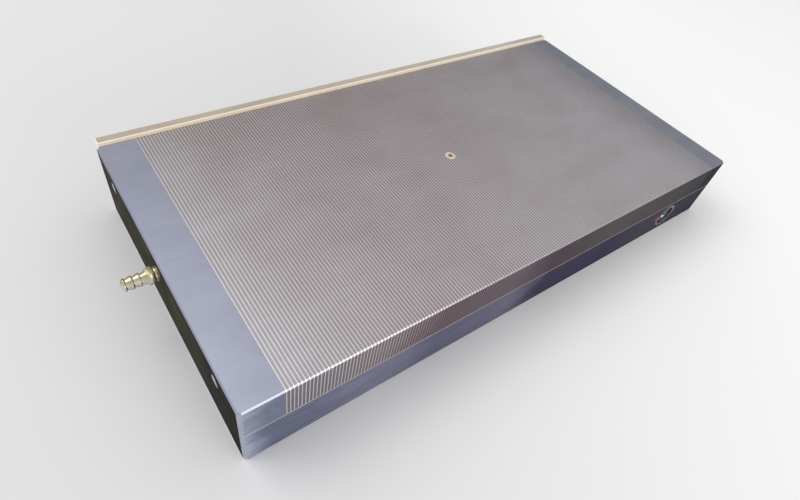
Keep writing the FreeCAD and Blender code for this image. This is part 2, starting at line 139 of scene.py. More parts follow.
def blend(tree, factor, first, second):
    """Blends two colours by a factor."""
    node = add_node(tree, "ShaderNodeMix", data_type="RGBA", blend_type="MIX")
    for index, value in ((0, factor), (6, first), (7, second)):
        if isinstance(value, bpy.types.NodeSocket):
            tree.links.new(value, node.inputs[index])
        else:
            node.inputs[index].default_value = value
    return node.outputs[2]


def colour_steps(tree, factor, steps):
    """A colour ramp from (place, colour) steps."""
    node = add_node(tree, "ShaderNodeValToRGB", {"Fac": factor})
    points = node.color_ramp.elements
    while len(points) < len(steps):
        points.new(0.5)
    for point, (place, shade) in zip(points, steps):
        point.position = place
        point.color = shade
    return node.outputs["Color"]


print("value and colour helpers ready")


# %% Helpers for relief and for the shader
def relief(tree, height, depth):
    """A bump of the given depth in metres."""
    bump = add_node(tree, "ShaderNodeBump", {"Height": height, "Distance": depth, "Strength": 1.0})
    return bump.outputs["Normal"]


def new_finish(name):
    """An empty material and its shader."""
    made = bpy.data.materials.new(name)
    made.use_nodes = True
    shader = made.node_tree.nodes["Principled BSDF"]
    return made, made.node_tree, shader


def finish_shader(tree, shader, **inputs):
    """Sets or links the inputs of a material's shader."""
    for name, value in inputs.items():
        socket = shader.inputs[name.replace("_", " ")]
        if isinstance(value, bpy.types.NodeSocket):
            tree.links.new(value, socket)
        else:
            socket.default_value = value


print("shader helpers ready")

# %% [markdown]
# ## Which way a surface faces
# The working face is ground bright, while the sides of the same blocks are painted darker, as
# painted shade and reflection. The direction that a surface faces tells the two apart: the object's
# own normal has a Z part of one on the face and nothing on the sides, with the bevel between.


# %% Facing masks
def facing(tree, axis):
    """One part of the surface's own normal."""
    normal = add_node(tree, "ShaderNodeTexCoord").outputs["Normal"]
    return add_node(tree, "ShaderNodeSeparateXYZ", {"Vector": normal}).outputs[axis]


def upward(tree):
    """One on surfaces that face up or lie on the bevel, and nothing on the sides."""
    return stretch(tree, facing(tree, "Z"), 0.35, 0.65)


def leftward(tree):
    """One on surfaces that face the left end, and nothing on the corner bevels."""
    return stretch(tree, facing(tree, "X"), -0.8, -0.95)


def place_along(tree, axis):
    """The object's own coordinate along one axis, in metres."""
    source = add_node(tree, "ShaderNodeTexCoord").outputs["Object"]
    return add_node(tree, "ShaderNodeSeparateXYZ", {"Vector": source}).outputs[axis]


def share_along(tree):
    """The share of the chuck's length, from nothing at the left end to one at the right."""
    return stretch(tree, place_along(tree, "X"), base_low.x, base_high.x)


print("masks ready for a length of", round((base_high.x - base_low.x) / MM, 1), "mm")

# %% [markdown]
# ## Ground steel
# A surface grinder leaves very fine scratches along the table's travel, here the length of
# the chuck, with faint bands where the wheel stepped across. A painted picture could show
# them too, but noise needs no file and has no seam. Fine noise stretched fifty times along
# X gives the scratches, and broad noise stretched about eight times gives the bands. The
# scratches go to the bump and roughness, the bands and stains to the colour.


# %% Grinding marks
SCRATCH_SIZE = 0.7 * MM
SCRATCH_DEPTH = 0.006 * MM
BAND_SIZE = 12.0 * MM


def grinding_marks(tree):
    """Fine scratches along X and broad bands, as two values about one half."""
    scratches = cloud(tree, pattern_place(tree, (0.02, 1.0, 1.0)), SCRATCH_SIZE, 2.0)
    bands = cloud(tree, pattern_place(tree, (0.12, 1.0, 1.0)), BAND_SIZE, 3.0)
    return scratches, bands


def side_tone(tree, steps):
    """The sides' painted reflection along the length, from (share of the length, colour) steps."""
    along = share_along(tree)
    # Soft noise wobbles the edges between the painted reflection's steps.
    blotches = cloud(tree, pattern_place(tree, (1.0, 1.0, 1.4)), 0.03, 4.0)
    place = arithmetic(tree, "ADD", along, stretch(tree, blotches, 0.3, 0.7, -0.02, 0.02))
    return colour_steps(tree, place, [(share, linear(*shade)) for share, shade in steps])


def side_metal(tree, first, last):
    """How metallic the sides look: less and less where the oil has dried on them."""
    along = share_along(tree)
    return stretch(tree, along, 0.05, 0.55, first, last)


print("scratches", SCRATCH_SIZE / MM, "mm wide and", SCRATCH_DEPTH / MM, "mm deep")


# %% [markdown]
# ## Small marks on the blocks
# The tapped holes in the left end get a painted glint on their countersinks, and two red drops
# of enamel on the front look like index marks. Discs could be laid on the front for the drops,
# but they would stand out from the steel. Masks in the material leave the size alone: each one
# measures how far a place is from the middle of its mark.

# %% Masks for the painted glints in the hole mouths and for enamel dots
MOUTH_REACH = 3.7 * MM
MOUTH_DEPTH = 1.25 * MM
BLUR = 0.05 * MM
SHAFT_DOT_RADIUS = 2.1 * MM
PLATE_DOT_RADIUS = 1.6 * MM


def distance_from_middle(tree, across, rise):
    """How far a place is from a middle, from its two offsets."""
    reach = add_node(tree, "ShaderNodeCombineXYZ", {"X": across, "Y": rise})
    length = add_node(tree, "ShaderNodeVectorMath", {0: reach.outputs["Vector"]},
                      operation="LENGTH")
    return length.outputs["Value"]


def hole_mouth_glints(tree):
    """One on the painted glint, on the upper bevels of the two tapped holes in the left end."""
    spread = arithmetic(tree, "ABSOLUTE", place_along(tree, "Y"), 0.0)
    across = arithmetic(tree, "SUBTRACT", spread, end_hole_y)
    rise = arithmetic(tree, "SUBTRACT", place_along(tree, "Z"), tail_axis_z)
    distance = distance_from_middle(tree, across, rise)
    near = stretch(tree, distance, MOUTH_REACH + BLUR, MOUTH_REACH - BLUR)
    near = arithmetic(tree, "MULTIPLY", near, stretch(tree, rise, -0.6 * MM, 0.4 * MM))
    end_x = base_low.x
    deep = stretch(tree, place_along(tree, "X"), end_x + 0.01 * MM, end_x + 0.03 * MM)
    shallow = stretch(
        tree, place_along(tree, "X"), end_x + MOUTH_DEPTH + BLUR, end_x + MOUTH_DEPTH - BLUR)
    return arithmetic(tree, "MULTIPLY", near, arithmetic(tree, "MULTIPLY", deep, shallow))


def enamel_dot(tree, x, z, radius):
    """One inside a round drop of enamel on the front."""
    across = arithmetic(tree, "SUBTRACT", place_along(tree, "X"), x)
    rise = arithmetic(tree, "SUBTRACT", place_along(tree, "Z"), z)
    distance = distance_from_middle(tree, across, rise)
    inside = stretch(tree, distance, radius + 2 * BLUR, radius - 2 * BLUR)
    return arithmetic(tree, "MULTIPLY", inside, stretch(tree, facing(tree, "Y"), -0.9, -0.95))


print("dots", 2 * SHAFT_DOT_RADIUS / MM, "and", 2 * PLATE_DOT_RADIUS / MM, "mm across")


# %% [markdown]
# ## The end blocks and the base
# The end blocks are pale blue-grey where they are ground, and their sides are painted darker,
# as painted shade and reflection; the bevel down the near corner carries a painted highlight
# and is the lightest part. The base has no ground face in view, so it takes the side tones
# alone. The left end is painted nearly black, a painted dark reflection with olive and brown
# clouds. One material with masks was chosen over one for each surface, since the tones
# then fade into each other as they do on the object.

# %% Block steel
DULL = {"Specular_IOR_Level": 0.0, "Specular_Tint": (0.3, 0.3, 0.3, 1.0)}


def block_steel(name, face_colour, front_shading_steps):
    """Ground steel whose face, front and left end each have their own tone, the front and left end
    in painted shade and reflection.
    """
    made, tree, shader = new_finish(name)
    scratches, bands = grinding_marks(tree)
    blotches = cloud(tree, pattern_place(tree), 0.028, 4.0, 0.6)
    # Painted reflection: the right block's face is painted greyer than the left one's.
    right_end = stretch(tree, place_along(tree, "X"), 0.0, 0.15)
    face = blend(tree, right_end, face_colour, linear(157, 160, 168))
    face = blend(tree, stretch(tree, bands, 0.3, 0.7, 0.0, 0.25), face, linear(186, 188, 200))
    face = blend(tree, stretch(tree, blotches, 0.35, 0.75, 0.0, 0.3), face, linear(140, 142, 158))
    front = side_tone(tree, front_shading_steps)
    clouding = cloud(
        tree, pattern_place(tree, (0.6, 1.0, 1.5), (0.3, 0.1, 0.2)), 0.022, 4.0, 0.6)
    front = blend(tree, stretch(tree, clouding, 0.4, 0.75, 0.0, 0.3), front, linear(70, 66, 92))
    # Painted reflection: the left end is painted near black with olive and brown clouds.
    end = blend(tree, stretch(tree, clouding, 0.35, 0.75), linear(56, 57, 56), linear(80, 74, 58))
    # The painted dark end is made darker still towards the front.
    darker_to_front = stretch(tree, place_along(tree, "Y"), base_low.y, base_low.y + 0.07, 0.75, 0.0)
    end = blend(tree, darker_to_front, end, linear(36, 38, 42))
    left = leftward(tree)
    # Painted highlight: the bevel down the near corner is painted light.
    corner = arithmetic(tree, "MULTIPLY", stretch(tree, facing(tree, "X"), -0.2, -0.5),
                        stretch(tree, facing(tree, "Y"), -0.3, -0.55))
    front = blend(tree, arithmetic(tree, "MULTIPLY", corner, 0.6), front, linear(206, 212, 226))
    # Painted shade and reflection: the front and left end take their painted dark tones, the face
    # its own.
    side = blend(tree, left, front, end)
    up = upward(tree)
    colour = blend(tree, up, side, face)
    metal = arithmetic(tree, "MULTIPLY", side_metal(tree, 0.7, 0.0),
                       stretch(tree, left, 0.0, 1.0, 1.0, 0.12))
    metal = arithmetic(tree, "MAXIMUM", metal, up)
    mouth_glint = hole_mouth_glints(tree)
    # Painted glint: the hole mouths are painted near white and made hardly metallic.
    colour = blend(tree, mouth_glint, colour, linear(222, 226, 228))
    metal = arithmetic(tree, "MULTIPLY", metal, stretch(tree, mouth_glint, 0.0, 1.0, 1.0, 0.2))
    dot = enamel_dot(tree, shaft_dot_x, shaft_dot_z, SHAFT_DOT_RADIUS)
    colour = blend(tree, dot, colour, linear(196, 44, 84))
    metal = arithmetic(tree, "MULTIPLY", metal, stretch(tree, dot, 0.0, 1.0, 1.0, 0.0))
    rough = arithmetic(tree, "ADD", stretch(tree, scratches, 0.2, 0.8, -0.05, 0.07),
                       stretch(tree, up, 0.0, 1.0, 0.26, 0.36))
    bump = relief(tree, scratches, SCRATCH_DEPTH)
    finish_shader(tree, shader, Base_Color=colour, Metallic=metal, Roughness=rough, Normal=bump,
                  **DULL)
    return made


print("block steel ready")

# %% End block and base finishes
# Painted reflection along the front: light at the left end and dark towards the right.
base_front_shading = [
    (0.0, (206, 212, 234)), (0.035, (144, 149, 172)), (0.18, (150, 151, 173)),
    (0.3, (116, 116, 138)), (0.43, (118, 118, 136)), (0.53, (66, 64, 81)),
    (0.7, (62, 61, 79)), (0.8, (72, 71, 79)), (0.93, (66, 65, 70)), (1.0, (60, 59, 64)),
]
block_front_shading = [
    (0.0, (212, 218, 240)), (0.035, (154, 160, 182)), (0.2, (140, 142, 162)),
    (0.6, (80, 76, 84)), (0.94, (60, 61, 65)), (1.0, (56, 57, 60)),
]
finishes = {}
finishes["ground_steel_end"] = block_steel(
    "ground_steel_end", linear(168, 171, 188), block_front_shading)
finishes["base_steel"] = block_steel("base_steel", linear(150, 152, 162), base_front_shading)
print("block finishes:", sorted(finishes))

# %% [markdown]
# ## The striped face
# The stack is really built from plates, so the stripes need no painted pattern: the steel
# plates and the brass between them each get their own finish. Both are painted darker down
# the front, as painted reflection, where the brass stays the lighter of the two.

# %% Stack metal
middle_blend_steps = [
    (0.06, 0.0), (0.14, 0.3), (0.3, 0.45), (0.55, 0.35), (0.7, 0.1), (0.9, 0.0), (0.95, 0.2)]


def stack_metal(name, face_colour, face_stain, front_shading_steps, rough_face):
    """One metal of the stack, with a stained face blended along its length and its own painted
    reflection in front.
    """
    made, tree, shader = new_finish(name)
    scratches, bands = grinding_marks(tree)
    blotches = cloud(tree, pattern_place(tree, (1.0, 1.0, 1.0), (0.7, 0.2, 0.0)), 0.045, 5.0, 0.62)
    # The stripes are blended towards one tone more towards the back, in noise patches, and most
    # from about a sixth to two thirds of the length.
    back = stretch(tree, place_along(tree, "Y"), 0.0, 0.1, 0.0, 0.2)
    along = share_along(tree)
    middle = colour_steps(
        tree, along, [(share, (level, level, level, 1.0)) for share, level in middle_blend_steps])
    stripe_blend = arithmetic(tree, "ADD", back, stretch(tree, blotches, 0.4, 0.75, 0.0, 0.35))
    stripe_blend = arithmetic(tree, "ADD", stripe_blend, middle)
    face = blend(tree, stretch(tree, bands, 0.3, 0.7, 0.0, 0.2), face_colour, face_stain)
    face = blend(tree, stripe_blend, face, face_stain)
    # Painted reflection: the face is painted greyer at the far right end.
    face = blend(tree, stretch(tree, along, 0.87, 0.95, 0.0, 0.28), face, linear(142, 145, 154))
    up = upward(tree)
    # Painted shade and reflection: the front is painted in the darker shading steps, the face in
    # its own tone.
    colour = blend(tree, up, side_tone(tree, front_shading_steps), face)
    metal = arithmetic(tree, "MAXIMUM", side_metal(tree, 0.6, 0.1), up)
    dot = enamel_dot(tree, plate_dot_x, plate_dot_z, PLATE_DOT_RADIUS)
    colour = blend(tree, dot, colour, linear(150, 46, 70))
    metal = arithmetic(tree, "MULTIPLY", metal, stretch(tree, dot, 0.0, 1.0, 1.0, 0.0))
    rough = arithmetic(tree, "ADD", stretch(tree, scratches, 0.2, 0.8, -0.05, 0.07),
                       stretch(tree, up, 0.0, 1.0, 0.3, rough_face))
    bump = relief(tree, scratches, SCRATCH_DEPTH)
    finish_shader(tree, shader, Base_Color=colour, Metallic=metal, Roughness=rough, Normal=bump,
                  **DULL)
    return made


print("most wear in the middle:", max(level for share, level in middle_blend_steps))

# %% Plate and spacer finishes
# Painted reflection along the front: light at the left end and dark towards the right.
plate_front_shading = [
    (0.05, (140, 136, 148)), (0.18, (134, 126, 134)), (0.3, (100, 88, 98)), (0.43, (96, 86, 97)),
    (0.53, (74, 67, 77)), (0.68, (84, 81, 83)), (0.85, (82, 78, 80)), (0.96, (70, 69, 73)),
]
brass_front_shading = [
    (0.05, (234, 224, 218)), (0.18, (216, 204, 198)), (0.3, (154, 138, 134)),
    (0.43, (148, 134, 132)), (0.53, (106, 97, 97)), (0.68, (104, 99, 97)), (0.96, (76, 74, 74)),
]
finishes["lamination_steel"] = stack_metal(
    "lamination_steel", linear(174, 173, 181), linear(149, 139, 141), plate_front_shading, 0.38)
finishes["lamination_brass"] = stack_metal(
    "lamination_brass", linear(236, 228, 224), linear(212, 197, 190), brass_front_shading, 0.36)
print("stack finishes ready")


# %% [markdown]
# ## Plain machined metals
# Most other parts are one metal with turned or milled marks. One function covers them: a
# colour, a second colour in soft patches, a roughness and the direction of the marks. The
# hose tail's nickel also gets a painted olive reflection on top and painted shade beneath,
# which two more facing masks add.

# %% Machined metal
MARK_SIZE = 0.6 * MM
PATCH_SIZE = 6.0 * MM
MARK_DEPTH = 0.004 * MM
RUBBER_DEPTH = 0.02 * MM


def machined(name, colour, patch_colour, rough, grain=(1.0, 1.0, 1.0), depth=MARK_DEPTH,
             metallic=1.0, painted_facing_light=False):
    """One metal with fine marks and soft patches, and painted reflection above and painted shade
    below if asked.
    """
    made, tree, shader = new_finish(name)
    marks = cloud(tree, pattern_place(tree, grain), MARK_SIZE, 2.0)
    patches = cloud(tree, pattern_place(tree), PATCH_SIZE, 4.0, 0.6)
    tone = blend(tree, stretch(tree, patches, 0.35, 0.7), colour, patch_colour)
    roughness = arithmetic(tree, "ADD", stretch(tree, marks, 0.25, 0.75, -0.06, 0.08),
                           stretch(tree, patches, 0.3, 0.7, rough - 0.04, rough + 0.05))
    if painted_facing_light:
        # Painted reflection and shade: up-facing surfaces are painted olive, down-facing ones dark.
        height = facing(tree, "Z")
        above = stretch(tree, height, 0.45, 0.85, 0.0, 0.75)
        below = stretch(tree, height, -0.15, -0.6, 0.0, 0.85)
        tone = blend(tree, above, tone, linear(150, 146, 112))
        tone = blend(tree, below, tone, linear(62, 62, 58))
    bump = relief(tree, marks, depth)
    finish_shader(tree, shader, Base_Color=tone, Metallic=metallic, Roughness=roughness,
                  Normal=bump)
    return made


print("marks", MARK_DEPTH / MM, "mm deep, in rubber", RUBBER_DEPTH / MM, "mm")

# %% Finishes of the small parts
plain_metals = {
    "screw_steel": ((74, 72, 72), (46, 45, 46), 0.38),
    "washer_brass": ((224, 204, 160), (176, 150, 106), 0.28),
    "shaft_steel": ((120, 124, 124), (84, 86, 88), 0.3),
    "bush_steel": ((150, 148, 154), (112, 108, 114), 0.28),
    "bronze": ((190, 142, 92), (146, 100, 62), 0.36),
    "magnet": ((66, 66, 70), (50, 50, 54), 0.5),
    "pack_iron": ((140, 138, 138), (112, 110, 112), 0.42),
    "pack_aluminium": ((198, 200, 204), (176, 178, 184), 0.36),
    "zinc_steel": ((196, 196, 198), (160, 162, 168), 0.32),
}
for name, (colour, patch_colour, rough) in plain_metals.items():
    finishes[name] = machined(name, linear(*colour), linear(*patch_colour), rough)
finishes["bush_brass"] = machined(
    "bush_brass", linear(236, 222, 204), linear(206, 188, 164), 0.34, metallic=0.45)
finishes["nickel"] = machined(
    "nickel", linear(230, 222, 206), linear(192, 184, 162), 0.24, (1.0, 0.1, 0.1), painted_facing_light=True)
finishes["seal_rubber"] = machined(
    "seal_rubber", linear(34, 34, 36), linear(26, 26, 27), 0.6, depth=RUBBER_DEPTH, metallic=0.0)
print("machined finishes:", len(finishes))


# %% [markdown]
# ## The brass seam
# The sealing frame between base and top plate shows as a thin beige line. It is dull brass
# with a few copper-red spots, so its patches are small and its second colour is redder.

# %% Seam finish
def seam_brass():
    """Dull brass with a painted reflection that darkens it along the front, and a few redder spots.
    """
    made, tree, shader = new_finish("gasket_brass")
    along = share_along(tree)
    # Painted reflection: the seam is painted darker along the front towards the right.
    tone = colour_steps(tree, along, [
        (0.0, linear(236, 226, 216)), (0.3, linear(226, 212, 198)), (0.5, linear(196, 184, 176)),
        (0.8, linear(190, 184, 180)), (1.0, linear(168, 164, 162))])
    spots = cloud(tree, pattern_place(tree, (1.0, 1.0, 1.0), (0.013, 0.0, 0.0)), 0.009, 3.0)
    tone = blend(tree, stretch(tree, spots, 0.62, 0.72, 0.0, 0.8), tone, linear(178, 116, 96))
    # Painted shade: the seam is painted dark where it faces the left end.
    left = leftward(tree)
    tone = blend(tree, left, tone, linear(66, 64, 58))
    marks = cloud(tree, pattern_place(tree, (0.1, 1.0, 1.0)), 0.0005, 2.0)
    finish_shader(tree, shader, Base_Color=tone, Metallic=stretch(tree, left, 0.15, 0.0),
                  Roughness=stretch(tree, marks, 0.2, 0.8, 0.34, 0.5),
                  Normal=relief(tree, marks, 0.005 * MM), **DULL)
    return made


finishes["gasket_brass"] = seam_brass()
print("seam finish:", finishes["gasket_brass"].name)


# %% [markdown]
# ## The back rail
# The rail's front is painted bright as a painted highlight, and its top and back are a painted
# shaded tan, with patches of dried oil. The facing masks tell them apart again.

# %% Rail finish
def rail_metal():
    """Steel with a painted highlight in front, and a painted shaded tan with oil patches above and
    behind.
    """
    made, tree, shader = new_finish("rail_steel")
    streaks = cloud(tree, pattern_place(tree, (0.03, 1.0, 1.0)), 0.0008, 3.0)
    oil = cloud(tree, pattern_place(tree, (0.35, 1.0, 1.0)), 0.02, 4.0, 0.6)
    along = share_along(tree)
    # Painted shade: the top's tan is a shaded copy of the steel, lighter towards the right.
    shaded_top_tone = colour_steps(tree, along, [
        (0.0, linear(208, 196, 176)), (0.25, linear(226, 212, 194)), (1.0, linear(228, 220, 212))])
    top = blend(tree, stretch(tree, oil, 0.3, 0.7, 0.0, 0.8), shaded_top_tone, linear(200, 186, 168))
    # Painted highlight: the front is painted near white.
    front = blend(
        tree, stretch(tree, oil, 0.35, 0.7), linear(255, 246, 226), linear(250, 236, 208))
    up = stretch(tree, facing(tree, "Z"), 0.8, 0.95)
    behind = stretch(tree, facing(tree, "Y"), 0.3, 0.6)
    tone = blend(tree, arithmetic(tree, "MAXIMUM", up, behind), front, top)
    rough = stretch(tree, streaks, 0.25, 0.75, 0.28, 0.42)
    finish_shader(tree, shader, Base_Color=tone, Metallic=stretch(tree, up, 0.0, 1.0, 0.0, 0.9),
                  Roughness=rough, Normal=relief(tree, streaks, SCRATCH_DEPTH))
    return made


finishes["rail_steel"] = rail_metal()
print("finishes in all:", len(finishes))

# %% [markdown]
# ## Dress the solid parts
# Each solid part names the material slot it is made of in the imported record. The part's
# own material is swapped for the finish of the same name; the mesh is left as it is.

# %% Put the finishes on the solids
for node in nodes.values():
    for holder in node.material_slots:
        name = holder.material.name.split(".")[0] if holder.material else ""
        if name in finishes:
            holder.material = finishes[name]
        else:
            print("no finish for", node.name, name)
print("dressed", len(nodes), "parts")


# %% [markdown]
# ## Helpers for modelling
# New pieces are shaped with the same operators a person uses in the viewport. An operator
# works on what is selected, so the helpers first clear the selection, and then pick faces
# or edges by where they lie.

# %% Modelling helpers
def only(piece):
    """Makes one object active and the only one selected."""
    if bpy.context.object and bpy.context.object.mode != "OBJECT":
        bpy.ops.object.mode_set(mode="OBJECT")
    bpy.ops.object.select_all(action="DESELECT")
    bpy.context.view_layer.objects.active = piece
    piece.select_set(True)


def pick(piece, kind, test):
    """In edit mode, selects the faces, edges or vertices that pass a test."""
    bpy.ops.mesh.select_mode(type=kind)
    bpy.ops.mesh.select_all(action="DESELECT")
    mesh = bmesh.from_edit_mesh(piece.data)
    group = {"FACE": mesh.faces, "EDGE": mesh.edges, "VERT": mesh.verts}[kind]
    for element in group:
        if test(element):
            element.select_set(True)
    mesh.select_flush(True)
    bmesh.update_edit_mesh(piece.data)


def settle(piece):
    """Moves an object's place and turn into its mesh, so that it sits at the origin."""
    only(piece)
    bpy.ops.object.transform_apply(location=True, rotation=True, scale=True)


def soften(piece, width, segments=2, angle=30.0):
    """Rounds the sharp edges of a piece and shades it smooth."""
    only(piece)
    modifier = piece.modifiers.new("edges", "BEVEL")
    modifier.width = width
    modifier.segments = segments
    modifier.limit_method = "ANGLE"
    modifier.angle_limit = math.radians(angle)
    bpy.ops.object.modifier_apply(modifier=modifier.name)
    bpy.ops.object.shade_smooth_by_angle(angle=math.radians(40))


def wear(piece, slot_name, body):
    """Gives a new piece its finish, its slot and its body."""
    piece.data.materials.clear()
    piece.data.materials.append(finishes[slot_name])
    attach(piece, body)


print("modelling helpers ready")


# %% [markdown]
# ## The hose tail
# The hose tail is turned from bar: a collar against the washer, a hexagon for the spanner,
# a cone, and three barbs that grip the hose. A lathe part is a stack of rings, so one disc
# is extruded outwards again and again, and each new ring is scaled to its radius. The rings
# are written in millimetres, as on a drawing. The hexagon is a second solid, a six-sided
# prism: its ends are inset and pushed out a little for a chamfer, and its edges bevelled.

# %% A lathe for one piece
def turned_piece(name, rings, start, sides=64):
    """A lathe part along -X: rings of (distance, radius) from a start point."""
    first_distance, first_radius = rings[0]
    bpy.ops.mesh.primitive_circle_add(
        vertices=sides, radius=first_radius, fill_type="NGON", rotation=(0.0, -math.pi / 2, 0.0),
        location=(start[0] - first_distance, start[1], start[2]))
    piece = bpy.context.object
    piece.name = name
    settle(piece)
    bpy.ops.object.mode_set(mode="EDIT")
    bpy.ops.mesh.select_all(action="SELECT")
    distance, radius = first_distance, first_radius
    for next_distance, next_radius in rings[1:]:
        bpy.ops.mesh.extrude_region_move(
            TRANSFORM_OT_translate={"value": (distance - next_distance, 0.0, 0.0)})
        ratio = next_radius / radius
        bpy.ops.transform.resize(
            value=(1.0, ratio, ratio), center_override=(0.0, start[1], start[2]))
        distance, radius = next_distance, next_radius
    bpy.ops.mesh.select_all(action="SELECT")
    bpy.ops.mesh.normals_make_consistent(inside=False)
    bpy.ops.object.mode_set(mode="OBJECT")
    return piece


print("lathe ready")

# %% Turn the hose tail
thread_radius = 2.8
collar_radius = 4.1
bore_radius = 1.75
neck_end = 9.0
barb_count = 3
barb_pitch = 3.8
tip_end = 18.7
end_face_x = left_block_low.x
tail_length = end_face_x - tail_low.x
tail_rings = [
    (-8.0, thread_radius), (0.95, thread_radius), (0.98, collar_radius), (2.2, collar_radius),
    (2.3, 3.7), (2.5, 3.7), (5.4, 3.9), (5.5, 4.2), (5.9, 4.15), (7.4, 3.25), (neck_end, 3.0),
]
for barb in range(barb_count):
    barb_start = neck_end + barb_pitch * barb
    tail_rings += [(barb_start + 0.02, 3.55), (barb_start + 0.16, 3.8), (barb_start + 0.45, 3.85),
                   (barb_start + 0.75, 3.78)]
    if barb < barb_count - 1:
        tail_rings += [(barb_start + 3.3, 3.05), (barb_start + 3.6, 3.0)]
tail_rings += [
    (18.2, 2.7), (18.55, 2.45), (tip_end, 2.2), (tip_end, 1.95), (18.55, bore_radius),
    (6.0, bore_radius)]
tail_scale = tail_length / (tip_end * MM)
hose_tail = turned_piece(
    "hose_tail_turned", [(along * MM * tail_scale, radius * MM) for along, radius in tail_rings],
    (end_face_x, tail_axis_y, tail_axis_z))
soften(hose_tail, 0.06 * MM, 1, 50.0)
print("hose tail:", len(hose_tail.data.polygons), "faces, length", round(tail_length / MM, 2), "mm")

# %% Mill the hexagon
hexagon_flats = 9.0 * MM
hexagon_length = 3.3 * MM
hexagon_x = end_face_x - 3.85 * MM
hexagon_inset = 0.35 * MM
hexagon_swell = 1.12
bpy.ops.mesh.primitive_cylinder_add(
    vertices=6, radius=hexagon_flats / math.sqrt(3), depth=hexagon_length,
    rotation=(0.0, math.pi / 2, 0.0), location=(hexagon_x, tail_axis_y, tail_axis_z))
hexagon = bpy.context.object
hexagon.name = "hose_tail_hexagon"
settle(hexagon)
bpy.ops.object.mode_set(mode="EDIT")
tall = max(vertex.co.z for vertex in bmesh.from_edit_mesh(hexagon.data).verts)
# A corner may point up at first: a turn by half a side then puts a flat on top.
if tall - tail_axis_z > hexagon_flats / 2 + 0.1 * MM:
    bpy.ops.mesh.select_all(action="SELECT")
    bpy.ops.transform.rotate(
        value=math.radians(30), orient_axis="X", center_override=(0.0, tail_axis_y, tail_axis_z))
pick(hexagon, "FACE", lambda face: abs(face.normal.x) > 0.9)
bpy.ops.mesh.inset(thickness=hexagon_inset)
pick(hexagon, "FACE", lambda face: abs(face.normal.x) > 0.9 and len(face.verts) == 6)
bpy.ops.transform.resize(
    value=(hexagon_swell, 1.0, 1.0), center_override=(hexagon_x, 0.0, 0.0))
bpy.ops.object.mode_set(mode="OBJECT")
soften(hexagon, 0.12 * MM, 2, 25.0)
print("hexagon:", len(hexagon.data.polygons), "faces")

# %% Join the two and put the tail in place
only(hose_tail)
hexagon.select_set(True)
bpy.ops.object.join()
wear(hose_tail, "nickel", "housing")
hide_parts("hose_tail")
print("hose tail joined:", len(hose_tail.data.polygons), "faces")


# %% [markdown]
# ## Cap screws
# A socket-head cap screw has a straight knurl round its head and a hexagon socket in its
# end. One of each length is modelled at the origin: every second upright edge of a
# many-sided cylinder is pulled in for the knurl, the end is bevelled, and a six-sided prism
# is taken out of it for the socket. A boolean does that cleanly where an inset could not,
# since the round end has no six-sided face. Copies with their own meshes go wherever a
# screw stands.

# %% Sizes and solids for the cap screws
HEAD_RADIUS = 5.0 * MM
HEAD_HEIGHT = 6.0 * MM
SHANK_RADIUS = 3.0 * MM
SOCKET_FLATS = 5.0 * MM
SOCKET_DEPTH = 3.0 * MM
KNURL_SIDES = 72
KNURL_ROOT = 0.966
SHANK_SIDES = 32
HEAD_BEVEL = 0.35 * MM


def combine(piece, tool, operation):
    """Joins another solid to a piece or takes it out, and then removes that solid."""
    only(piece)
    modifier = piece.modifiers.new("combine", "BOOLEAN")
    modifier.operation = operation
    modifier.object = tool
    bpy.ops.object.modifier_apply(modifier=modifier.name)
    bpy.data.objects.remove(tool)


def round_bar(name, sides, radius, bottom, top):
    """An upright bar round the Z axis, settled at the origin."""
    bpy.ops.mesh.primitive_cylinder_add(
        vertices=sides, radius=radius, depth=top - bottom, location=(0.0, 0.0, (top + bottom) / 2))
    bar = bpy.context.object
    bar.name = name
    settle(bar)
    return bar


print("head", 2 * HEAD_RADIUS / MM, "mm across, socket", SOCKET_FLATS / MM, "mm over flats")


# %% Model a cap screw
def on_knurl_root(vertex):
    """Every second upright line of the head."""
    turn = math.atan2(vertex.co.y, vertex.co.x) / (2 * math.pi / KNURL_SIDES)
    return round(turn) % 2 == 0


def cap_screw(name, shank_length):
    """A cap screw with its seat at the origin: the head below it, the shank up along +Z."""
    screw = round_bar(name, KNURL_SIDES, HEAD_RADIUS, -HEAD_HEIGHT, 0.0)
    bpy.ops.object.mode_set(mode="EDIT")
    pick(screw, "VERT", on_knurl_root)
    bpy.ops.transform.resize(value=(KNURL_ROOT, KNURL_ROOT, 1.0), center_override=(0.0, 0.0, 0.0))
    pick(screw, "FACE", lambda face: face.normal.z < -0.9)
    bpy.ops.mesh.inset(thickness=HEAD_BEVEL)
    pick(screw, "EDGE", lambda edge: all(
        vertex.co.z < -0.99 * HEAD_HEIGHT and vertex.co.xy.length > HEAD_RADIUS - 0.25 * MM
        for vertex in edge.verts))
    bpy.ops.transform.translate(value=(0.0, 0.0, HEAD_BEVEL))
    bpy.ops.object.mode_set(mode="OBJECT")
    socket = round_bar("socket", 6, SOCKET_FLATS / math.sqrt(3),
                       -HEAD_HEIGHT - MM, SOCKET_DEPTH - HEAD_HEIGHT)
    combine(screw, socket, "DIFFERENCE")
    combine(screw, round_bar("shank", SHANK_SIDES, SHANK_RADIUS, -MM, shank_length), "UNION")
    soften(screw, 0.07 * MM, 1, 42.0)
    return screw


def copy_to(original, name, place, turn=None):
    """A copy with its own mesh, turned and put in place, settled at the origin."""
    only(original)
    bpy.ops.object.duplicate(linked=False)
    copied = bpy.context.object
    copied.name = name
    if turn is not None:
        copied.rotation_euler = turn
    copied.location = place
    settle(copied)
    return copied


def copies_at(name, shank_length, places, turn=None):
    """One new screw, copied to each of the places."""
    screw_model = cap_screw(name + "_model", shank_length)
    screws = [copy_to(screw_model, name + "_" + str(number + 1), place, turn)
              for number, place in enumerate(places)]
    bpy.data.objects.remove(screw_model)
    return screws


